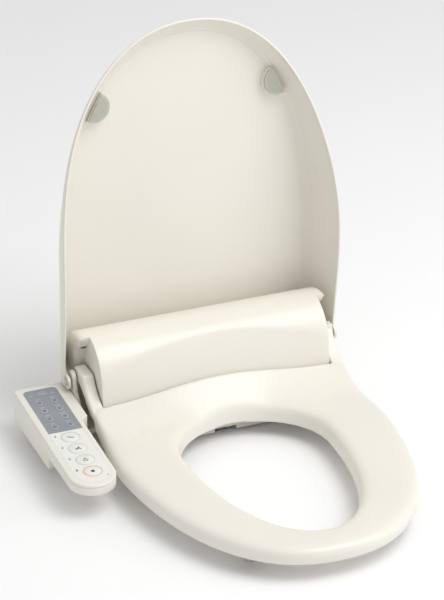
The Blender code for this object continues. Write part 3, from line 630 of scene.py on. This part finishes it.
def lid_mesh():
    """One closed skin: outer wall, rim bead, inner wall and both faces of the panel."""
    bm = bmesh.new()
    stations = lid_stations()
    rows = []
    for station in stations:
        outer = lid_section(station, "outer")
        inner = lid_section(station, "inner")
        run = list(reversed(outer)) + lid_rim_bead(station) + inner
        rows.append([bm.verts.new((x, -v, w)) for x, v, w in run])
    for a, b in zip(rows, rows[1:]):
        for i in range(len(a) - 1):
            bm.faces.new((a[i], b[i], b[i + 1], a[i + 1]))
    count = len(rows)
    for end in (0, -1):
        strips = []
        for i in range(count // 2 + 1):
            left, right = rows[i][end], rows[count - 1 - i][end]
            strips.append((left, right))
        for (a, b), (c, d) in zip(strips, strips[1:]):
            if c is d:
                bm.faces.new((a, c, b))
            elif a is not b:
                bm.faces.new((a, c, d, b))
    first, last = rows[0], rows[-1]
    half = len(first) // 2
    for row in (first, last):
        low = row[:half + 1]
        high = list(reversed(row))[:half + 1]
        for i in range(half):
            if low[i + 1] is high[i + 1]:
                bm.faces.new((low[i], low[i + 1], high[i]))
            else:
                bm.faces.new((low[i], low[i + 1], high[i + 1], high[i]))
    bm.faces.new((first[0], first[-1], last[-1], last[0]))
    return bm


def moon_points(side, radius, steps=40):
    """Half-moon outline on the shut lid's plan, with its centre and the way it faces."""
    centre = (side * PAD_X, -PAD_REACH)
    facing = 153.0 if side > 0 else 27.0
    return arc(centre, radius, facing - 90.0, facing + 90.0, steps), centre, facing


def on_lid_panel(bm):
    """Shears an upright shape so that it lies parallel to the lid's sloping panel."""
    for vert in bm.verts:
        vert.co.z += LID_PANEL_FALL * (vert.co.y + PAD_REACH)
    return bm


def build_lid(mats):
    """The lid with its hinge lugs and pad bosses; its flat panel is shaded flat."""
    lid = mesh_object("lid_skin", lid_mesh(), mats["ivory"])
    height = lid_top(PAD_REACH, LID_PANEL)
    for side in (-1, 1):
        inner = LID_HALF - LID_WALL - 1.8
        outline = arc((0.0, 0.0), LID_LUG, 180, 360, 24) + [(6.0, 22.0), (-LID_LUG, 22.0)]
        low, high = sorted((side * (inner - 1.0), side * (inner + 2.2)))
        combine(lid, prism(outline, low, high, "X"), "UNION")
        combine(lid, rod((side * 180.0, 0.0, 0.0), (side * 200.0, 0.0, 0.0), PIN_BORE))
        moon, _, _ = moon_points(side, PAD_RADIUS + 1.0)
        combine(lid, on_lid_panel(prism(moon, height - 9.0, height + 1.2)), "UNION")
        build_pad(side, height, mats)
    soften(lid, 42.0)
    facing = Vector((0.0, -LID_PANEL_FALL, 1.0)).normalized()
    for face in lid.data.polygons:
        if abs(face.normal.dot(facing)) > 0.99995:
            face.use_smooth = False
    if not lid.data.materials:
        lid.data.materials.append(mats["ivory"])
    lid.matrix_world = lid_frame()
    keep(lid, "lid", "ivory_gloss", "lid_shell")


def build_pad(side, height, mats):
    """Half-moon rubber pad with fine ribs across its face."""
    word = "left" if side < 0 else "right"
    moon, centre, facing = moon_points(side, PAD_RADIUS)
    body = on_lid_panel(prism(moon, height - 12.2, height - 9.3))
    pad = mesh_object("pad_" + word, body, mats["pad"])
    bevel(pad, 0.7, 3)
    axis = Vector((math.cos(math.radians(facing)), math.sin(math.radians(facing))))
    across = Vector((-axis.y, axis.x))
    ribs = []
    for k in range(-6, 7):
        offset = k * 2.7
        reach = math.sqrt(max(18.6 ** 2 - offset ** 2, 0.0)) - 1.5
        if reach < 3.0:
            continue
        start = Vector(centre) + across * offset + axis * 1.6
        end = Vector(centre) + across * offset + axis * reach
        half = across * 0.75
        outline = [start - half, end - half, end + half, start + half]
        rib = prism([tuple(p) for p in outline], height - 12.75, height - 12.0)
        ribs.append(mesh_object("rib", on_lid_panel(rib)))
    merge(pad, ribs)
    pad.matrix_world = lid_frame()
    keep(pad, "lid", "pad_rubber", "lid_bumper_" + word)


# ---------------------------------------------------------------------- casing


def crease_height(x):
    """Height of the arched fold across the casing's front."""
    return 116.0 - 27.7 * (x / CASING_HALF) ** 2


def casing_profile(x, wall, bottom, fine):
    """Side view of the casing at one x; the fine one eases from the round top into the facet."""
    radius = CASING_RADIUS - wall
    rear = CASING_REAR - wall
    start = math.degrees(math.acos((rear - SEAT_AXIS[0]) / radius))
    crease = 180.0 - math.degrees(math.asin((crease_height(x) - SEAT_AXIS[1]) / radius))
    share = (x / CASING_HALF) ** 2
    top = arc(SEAT_AXIS, radius, -start, crease, 60 if fine else 16)
    foot = Vector((-73.0 - 2.0 * share + wall, FOOT_HEIGHT + MIDDLE_RISE * seat_bell(x)))
    facet = []
    if fine:
        edge = Vector(top[-1])
        top = top[:-2]
        before = Vector(top[-1])
        after = edge + (foot - edge) * 0.1
        facet = [tuple(before * (1 - t) ** 2 + edge * 2 * t * (1 - t) + after * t * t)
                 for t in (0.2, 0.4, 0.6, 0.8, 1.0)]
    skirt = [(-75.5 + wall, 24.0 - wall), (-97.0 + wall, 15.0 - wall), (BAY_FRONT + wall, 11.0 - wall),
             (BAY_FRONT + wall, bottom)]
    return [(rear, bottom)] + top + facet + [tuple(foot)] + skirt


def casing_core(wall, bottom, fine):
    """The casing between its two shoulders, a wall's thickness inside its outer face."""
    half = CASING_HALF - wall
    count = 60 if fine else 10
    stations = [-half + 2.0 * half * i / count for i in range(count + 1)]
    return loft([[(x, y, z) for y, z in casing_profile(x, wall, bottom, fine)] for x in stations])


def shoulder(wall, bottom, steps):
    """The casing's wider rear part: rounded ends, and a front that clears the raised seat's arms."""
    rings = []
    for out, shrink in SHOULDER_ENDS + tuple((-out, shrink) for out, shrink in reversed(SHOULDER_ENDS)):
        radius = CASING_RADIUS + SEAM - wall - shrink
        rear = CASING_REAR + SEAM - wall - shrink
        start = math.degrees(math.acos((rear - SEAT_AXIS[0]) / radius))
        back, down = 0.75 * wall + 0.8 * shrink, 0.75 * wall + 0.2 * shrink
        front = [(y + back, z - down) for y, z in SHOULDER_FRONT]
        low = front[-1][0]
        foot = bottom + SEAM
        outline = [(rear, foot)] + arc(SEAT_AXIS, radius, -start, 100.0, steps) + front + [(low, foot)]
        x = math.copysign(abs(out) - wall, out)
        rings.append([(x, y, z) for y, z in outline])
    return loft(rings)


def build_casing(mats):
    """The casing's cover: a hollow skin with bores for the pins, the button and the two ports."""
    casing = mesh_object("casing_skin", casing_core(0.0, CASING_FLOOR, True), mats["ivory"])
    combine(casing, shoulder(0.0, CASING_FLOOR, 24), "UNION")
    bevel(casing, 1.1, 3, 50.0)
    inside = mesh_object("inside", casing_core(CASING_WALL, 4.0, False))
    combine(inside, shoulder(CASING_WALL, 4.0, 8), "UNION")
    combine(casing, inside)
    for side in (-1, 1):
        combine(casing, rod((side * 155.0, *SEAT_AXIS), (side * 164.0, *SEAT_AXIS), PIN_BORE))
    combine(casing, rod((170.0, BUTTON_Y, PORT_HEIGHT), (180.0, BUTTON_Y, PORT_HEIGHT), 7.3))
    combine(casing, rod((INLET_X, 30.0, PORT_HEIGHT), (INLET_X, 42.0, PORT_HEIGHT), 8.3))
    combine(casing, rod((CORD_X, 30.0, PORT_HEIGHT), (CORD_X, 42.0, PORT_HEIGHT), 6.3))
    soften(casing, 40.0)
    keep(casing, "base", "ivory_gloss", "rear_cover")


# ----------------------------------------------------------------- control arm


def panel_height(y):
    """Height of the control arm's sloping top."""
    return PANEL_HEIGHT + math.tan(PANEL_SLOPE) * y


def panel_plan(inset):
    """Plan of the control arm: round front, side shelf towards the casing."""
    radius = 0.5 * (PANEL_INNER - PANEL_OUTER)
    middle = 0.5 * (PANEL_INNER + PANEL_OUTER)
    left, right, rear = PANEL_OUTER + inset, PANEL_INNER - inset, PANEL_REAR - inset
    front = arc((middle, PANEL_FRONT + radius), radius - inset, 180, 360, 48)
    shelf = -SHELF_INNER - inset
    corner = arc((left + 5.0, rear - 5.0), 5.0, 90, 180, 10)
    return front + [(right, SHELF_FRONT - 9.0), (shelf, SHELF_FRONT), (shelf, rear)] + corner


def panel_band(name, inset, top_drop, low_points):
    """Plan of the arm cut by a side view whose top follows the sloping panel."""
    solid = mesh_object(name, prism(panel_plan(inset), -5.0, 70.0))
    side = [(20.0, panel_height(20.0) - top_drop), (-260.0, panel_height(-260.0) - top_drop)]
    combine(solid, prism(side + low_points, -270.0, -170.0, "X"), "INTERSECT")
    return solid


def on_panel(bm):
    """Moves a shape from the panel's own frame, where the cover's top is zero, to its place."""
    turn = Matrix.Translation((0.0, 0.0, PANEL_HEIGHT)) @ Matrix.Rotation(PANEL_SLOPE, 4, "X")
    bmesh.ops.transform(bm, matrix=turn, verts=bm.verts)
    return bm


def key_places():
    """(name, x, y, radius) of all twelve keys."""
    places = []
    for row, y in enumerate(SMALL_KEY_ROWS):
        for column, x in enumerate(SMALL_KEY_COLUMNS):
            places.append(("function_key_%d" % (2 * row + column + 1), x, y, SMALL_KEY_RADIUS))
    for name, y in LARGE_KEY_ROWS:
        places.append((name, LARGE_KEY_X, y, LARGE_KEY_RADIUS))
    return places


def disc(x, y, radius, low, high):
    """Upright disc in the panel's own frame."""
    bm = turned([(0.0, low), (radius, low), (radius, high), (0.0, high)], 56)
    bmesh.ops.translate(bm, vec=(x, y, 0.0), verts=bm.verts)
    return bm


def label_outlines():
    """Plan of the rear film, of the front film and of the recess that holds both."""
    centre = 0.5 * (LABEL_LEFT + LABEL_RIGHT)
    radius = 0.5 * (LABEL_RIGHT - LABEL_LEFT)
    front = PANEL_FRONT + 7.5 + radius
    rear = rounded_rear(LABEL_LEFT, LABEL_RIGHT, LABEL_SPLIT + 0.05, -4.0, 7.0)
    nose = arc((centre, front), radius, 180, 360, 48)
    nose += [(LABEL_RIGHT, LABEL_SPLIT - 0.05), (LABEL_LEFT, LABEL_SPLIT - 0.05)]
    recess = arc((centre, front), radius + 0.15, 180, 360, 48)
    recess += rounded_rear(LABEL_LEFT - 0.15, LABEL_RIGHT + 0.15, LABEL_SPLIT, -3.85, 7.15)[2:]
    return rear, nose, recess


def rounded_rear(left, right, front, rear, radius):
    """Plan outline with two round rear corners, starting at the front left."""
    return ([(left, front), (right, front)] + arc((right - radius, rear - radius), radius, 0, 90, 12)
            + arc((left + radius, rear - radius), radius, 90, 180, 12))


def build_arm_shell(mats):
    """The control arm's hollow lower shell."""
    wall = 2.6
    low = [(-260.0, PANEL_SHALLOW), (PANEL_STEP - 4.0, PANEL_SHALLOW),
           (PANEL_STEP, PANEL_DEEP), (20.0, PANEL_DEEP)]
    inner_low = [(-260.0, PANEL_SHALLOW + wall), (PANEL_STEP, PANEL_SHALLOW + wall),
                 (PANEL_STEP + 4.0, PANEL_DEEP + wall), (20.0, PANEL_DEEP + wall)]
    base = panel_band("arm_shell", 0.0, COVER_THICK + GAP, low)
    base.data.materials.append(mats["ivory"])
    bevel(base, 1.4, 3, 45.0)
    combine(base, panel_band("inside", wall, -10.0, inner_low))
    soften(base, 40.0)
    keep(base, "base", "ivory_gloss", "control_arm_base")


def build_arm_cover(mats, recess):
    """The control arm's cover, with its rounded rim, label recess and key holes."""
    levels = [(0.0, -COVER_THICK), (0.0, -1.6), (0.15, -0.95), (0.5, -0.42), (1.0, -0.12), (1.7, 0.0)]
    rings = []
    for inset, drop in levels:
        rings.append([(x, y, panel_height(y) + drop) for x, y in panel_plan(inset)])
    cover = mesh_object("arm_cover", loft(rings), mats["ivory"])
    combine(cover, on_panel(prism(recess, -LABEL_THICK - GAP, 3.0)))
    for _, x, y, radius in key_places():
        combine(cover, on_panel(disc(x, y, radius + 0.4, -6.0, 3.0)))
    combine(cover, on_panel(lens_block(7.4, 2.4, -6.0, 3.0)))
    soften(cover, 40.0)
    keep(cover, "base", "ivory_gloss", "control_arm_cover")


def build_control_arm(mats):
    """Shell, cover and the two label films."""
    build_arm_shell(mats)
    rear, nose, recess = label_outlines()
    build_arm_cover(mats, recess)
    for name, node, outline, mat, slot, small in (
            ("function_film", "function_label", rear, mats["membrane"], "membrane_grey", True),
            ("key_film", "key_label", nose, mats["white"], "label_white", False)):
        film = mesh_object(name, on_panel(prism(outline, -LABEL_THICK, 0.0)), mat, 0)
        for key, x, y, radius in key_places():
            if key.startswith("function") == small:
                combine(film, on_panel(disc(x, y, radius + 0.12, -3.0, 3.0)))
        if small:
            combine(film, on_panel(lens_block(7.2, 2.2, -6.0, 3.0)))
        soften(film, 30.0)
        keep(film, "base", slot, node)


def lens_block(half, deep, low, high):
    """Round-cornered block at the status lens, in the panel's own frame."""
    corners = [(LENS_X - half, LENS_Y - deep), (LENS_X + half, LENS_Y - deep),
               (LENS_X + half, LENS_Y + deep), (LENS_X - half, LENS_Y + deep)]
    return prism(rounded(corners, [1.0] * 4, 4), low, high)


def build_keys(mats):
    """Each key's cap, printed ring and symbol, then the marks beside the keys."""
    for name, x, y, radius in key_places():
        small = name.startswith("function")
        profile = [(0.0, -4.9), (radius + 0.9, -4.9), (radius + 0.9, -3.6), (radius, -3.6), (radius, 0.0),
                   (radius - 0.15, 0.22), (radius - 0.45, 0.36), (0.0, 0.5 if small else 0.42)]
        bm = turned(profile, 64)
        bmesh.ops.translate(bm, vec=(x, y, 0.0), verts=bm.verts)
        key = mesh_object(name + "_cap", on_panel(bm), mats["membrane" if small else "white"])
        keep(key, name, "membrane_grey" if small else "label_white", name)
        ring_mat = mats["pale"] if small else (mats["orange"] if name == "stop_key" else mats["line"])
        width = 0.45 if small else (0.9 if name == "stop_key" else 0.4)
        edge = radius - (1.0 if small else 0.9)
        ring = mesh_object(name + "_ring", on_panel(band(x, y, edge - width, edge, 0.30, 0.50)), ring_mat)
        keep(ring, name, "label_white")
        build_icon(name, x, y, small, mats)
    build_marks(mats)


def bar(x, y, length, width, turn=0.0):
    """Outline of one printed bar, turned about its middle."""
    angle = math.radians(turn)
    along = Vector((math.cos(angle), math.sin(angle))) * (0.5 * length)
    across = Vector((-math.sin(angle), math.cos(angle))) * (0.5 * width)
    centre = Vector((x, y))
    return [tuple(centre - along - across), tuple(centre + along - across),
            tuple(centre + along + across), tuple(centre - along + across)]


def dot(x, y, radius):
    """Outline of one printed dot."""
    return arc((x, y), radius, 0, 342, 19)


def printed(name, shapes, low, high, mat, body):
    """Thin printed marks from outlines that lie on the panel."""
    pieces = [mesh_object(name, on_panel(prism(shape, low, high)), mat, 0) for shape in shapes]
    merge(pieces[0], pieces[1:])
    keep(pieces[0], body, "label_white")


def build_icon(name, x, y, small, mats):
    """Generic mark on a key: no letters, only bars and dots."""
    if small:
        number = int(name[-1])
        marks = [bar(x, y + 0.9, 3.6, 0.8, 20.0 * (number % 3)),
                 bar(x, y - 1.1, 2.4, 0.7, -25.0 * (number % 2))]
        if number % 2:
            marks.append(dot(x + 1.9, y - 0.6, 0.5))
        printed(name + "_mark", marks, 0.3, 0.56, mats["ink"], name)
        return
    icons = {
        "dryer_key": [bar(x - 2.6, y + 0.9, 4.2, 1.5, -30.0), bar(x + 0.4, y - 0.4, 4.4, 1.5, -30.0),
                      bar(x + 2.8, y - 1.6, 2.2, 1.1, -30.0)],
        "bidet_key": [dot(x + 1.0, y + 2.0, 1.2), bar(x - 0.6, y - 0.3, 6.4, 1.3, 8.0),
                      bar(x + 2.4, y - 1.8, 3.0, 1.2, -40.0), bar(x - 1.8, y - 1.8, 3.4, 0.9, 20.0)],
        "wash_key": [dot(x, y + 2.4, 1.2), bar(x - 2.2, y - 0.2, 3.6, 1.1, 48.0),
                     bar(x + 2.2, y - 0.2, 3.6, 1.1, -48.0), bar(x, y - 2.5, 5.6, 0.9)],
        "stop_key": [bar(x, y, 4.6, 4.6)],
    }
    printed(name + "_mark", icons[name], 0.26, 0.50, mats["ink"], name)


def build_marks(mats):
    """Generic legend marks beside the keys, on the two films."""
    dark = []
    for _, y in LARGE_KEY_ROWS:
        dark += [bar(LARGE_KEY_X - 17.6, y + 8.4, 5.2, 0.8, 90.0),
                 bar(LARGE_KEY_X - 19.2, y + 7.2, 3.4, 0.7, 90.0)]
    dark += [bar(LARGE_KEY_X + 15.4, -226.0, 3.2, 0.8, 90.0), dot(LARGE_KEY_X - 18.0, -204.0, 1.1)]
    printed("key_film_marks", dark, PRINT_LOW, 0.05, mats["ink"], "base")
    pale = []
    for row in SMALL_KEY_ROWS:
        for column in SMALL_KEY_COLUMNS:
            pale.append(bar(column, row + 8.6, 6.4, 0.8))
    pale += [bar(LENS_X, LENS_Y + 5.2, 10.0, 0.7), bar(LENS_X - 16.5, LENS_Y, 6.0, 0.8),
             bar(LENS_X + 14.0, LENS_Y, 4.6, 0.8)]
    printed("function_film_marks", pale, PRINT_LOW, 0.05, mats["pale"], "base")
    middle = 0.5 * (LABEL_LEFT + LABEL_RIGHT)
    rule = [bar(middle, y, 40.0, width) for y, width in ((-26.5, 0.35), (-68.0, 0.3), (-107.0, 0.3))]
    printed("function_film_rules", rule, PRINT_LOW, 0.04, mats["line"], "base")


def band(x, y, inner, outer, low, high, steps=64):
    """Flat printed ring."""
    turn = [2.0 * math.pi * i / steps for i in range(steps)]
    rings = []
    for radius, height in ((inner, low), (outer, low), (outer, high), (inner, high)):
        rings.append([(x + radius * math.cos(a), y + radius * math.sin(a), height) for a in turn])
    return loft(rings, closed=True)


# ---------------------------------------------------------------------- studio


def area(name, place, target, size, energy):
    """Soft square light that looks at a target."""
    light = bpy.data.lights.new(name, "AREA")
    light.shape = "SQUARE"
    light.size = size
    light.energy = energy
    obj = bpy.data.objects.new(name, light)
    obj.location = place
    obj.rotation_euler = (Vector(target) - Vector(place)).to_track_quat("-Z", "Y").to_euler()
    bpy.context.scene.collection.objects.link(obj)


def build_studio():
    """Pale floor, white surroundings and two soft lights."""
    bm = bmesh.new()
    bmesh.ops.create_grid(bm, x_segments=1, y_segments=1, size=FLOOR_HALF)
    mesh = bpy.data.meshes.new("floor")
    bm.to_mesh(mesh)
    bm.free()
    floor = bpy.data.objects.new("floor", mesh)
    floor.location.z = cad_box[0].z - MM
    bpy.context.scene.collection.objects.link(floor)
    mat = plastic("floor_paper", (0.93, 0.93, 0.93), 0.9, 300.0, 0.02, 0.005)
    floor.data.materials.append(mat)
    world = bpy.data.worlds.new("studio")
    world.use_nodes = True
    back = world.node_tree.nodes["Background"]
    back.inputs["Color"].default_value = (1.0, 1.0, 1.0, 1.0)
    back.inputs["Strength"].default_value = WORLD_STRENGTH
    bpy.context.scene.world = world
    area("key", (0.9, -1.2, 2.6), (0.0, -0.2, 0.1), 1.8, 42.0)
    area("fill", (1.9, -1.6, 1.1), (0.0, -0.1, 0.2), 1.5, 9.0)
    bpy.context.scene.view_settings.view_transform = "Standard"


def build_camera():
    """Long lens from the front right of the seated user, looking down."""
    camera = bpy.data.cameras.new("camera")
    camera.lens = CAMERA_LENS
    camera.sensor_width = 36.0
    camera.clip_end = 50.0
    obj = bpy.data.objects.new("camera", camera)
    obj.location = CAMERA_PLACE
    obj.rotation_euler = CAMERA_TURN
    bpy.context.scene.collection.objects.link(obj)
    bpy.context.scene.camera = obj


build_camera()
materials = make_materials()
dress_frame(materials)
build_seat(materials)
build_lid(materials)
build_casing(materials)
build_control_arm(materials)
build_keys(materials)
build_studio()
